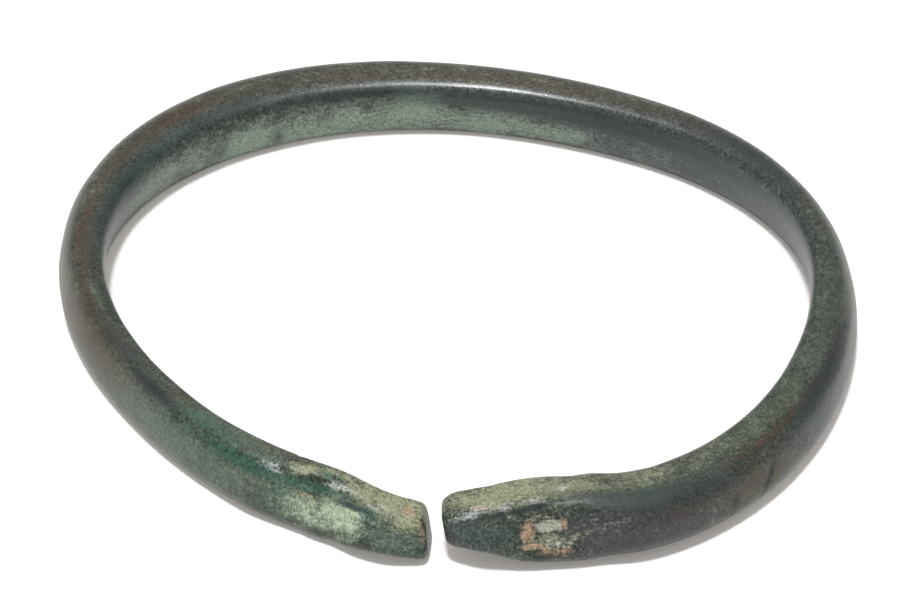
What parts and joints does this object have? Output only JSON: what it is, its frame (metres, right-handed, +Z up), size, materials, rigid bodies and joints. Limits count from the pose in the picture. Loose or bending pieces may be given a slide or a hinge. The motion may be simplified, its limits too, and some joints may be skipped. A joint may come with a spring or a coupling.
{
  "type": "currency bracelet",
  "caption": "Open oval bracelet forged from one copper-alloy bar, D-shaped in section, with two hammered ends that almost meet; dark green patina.",
  "frame": {"origin": "bottom centre of the bracelet as it lies flat, on the surface that it rests on, in the middle of the ring's box", "axes": "+Z up; -Y towards the gap between the two ends; +X to the right when the gap faces the viewer, along the ring's longest side"},
  "size_m": [0.0704, 0.0652, 0.0064],
  "materials": {
    "bronze": "dark green-black patina, worn smooth to a soft sheen, with paler green verdigris and brown patches"
  },
  "bodies": {
    "root": {"bracelet": "bronze"}
  },
  "joints": []
}
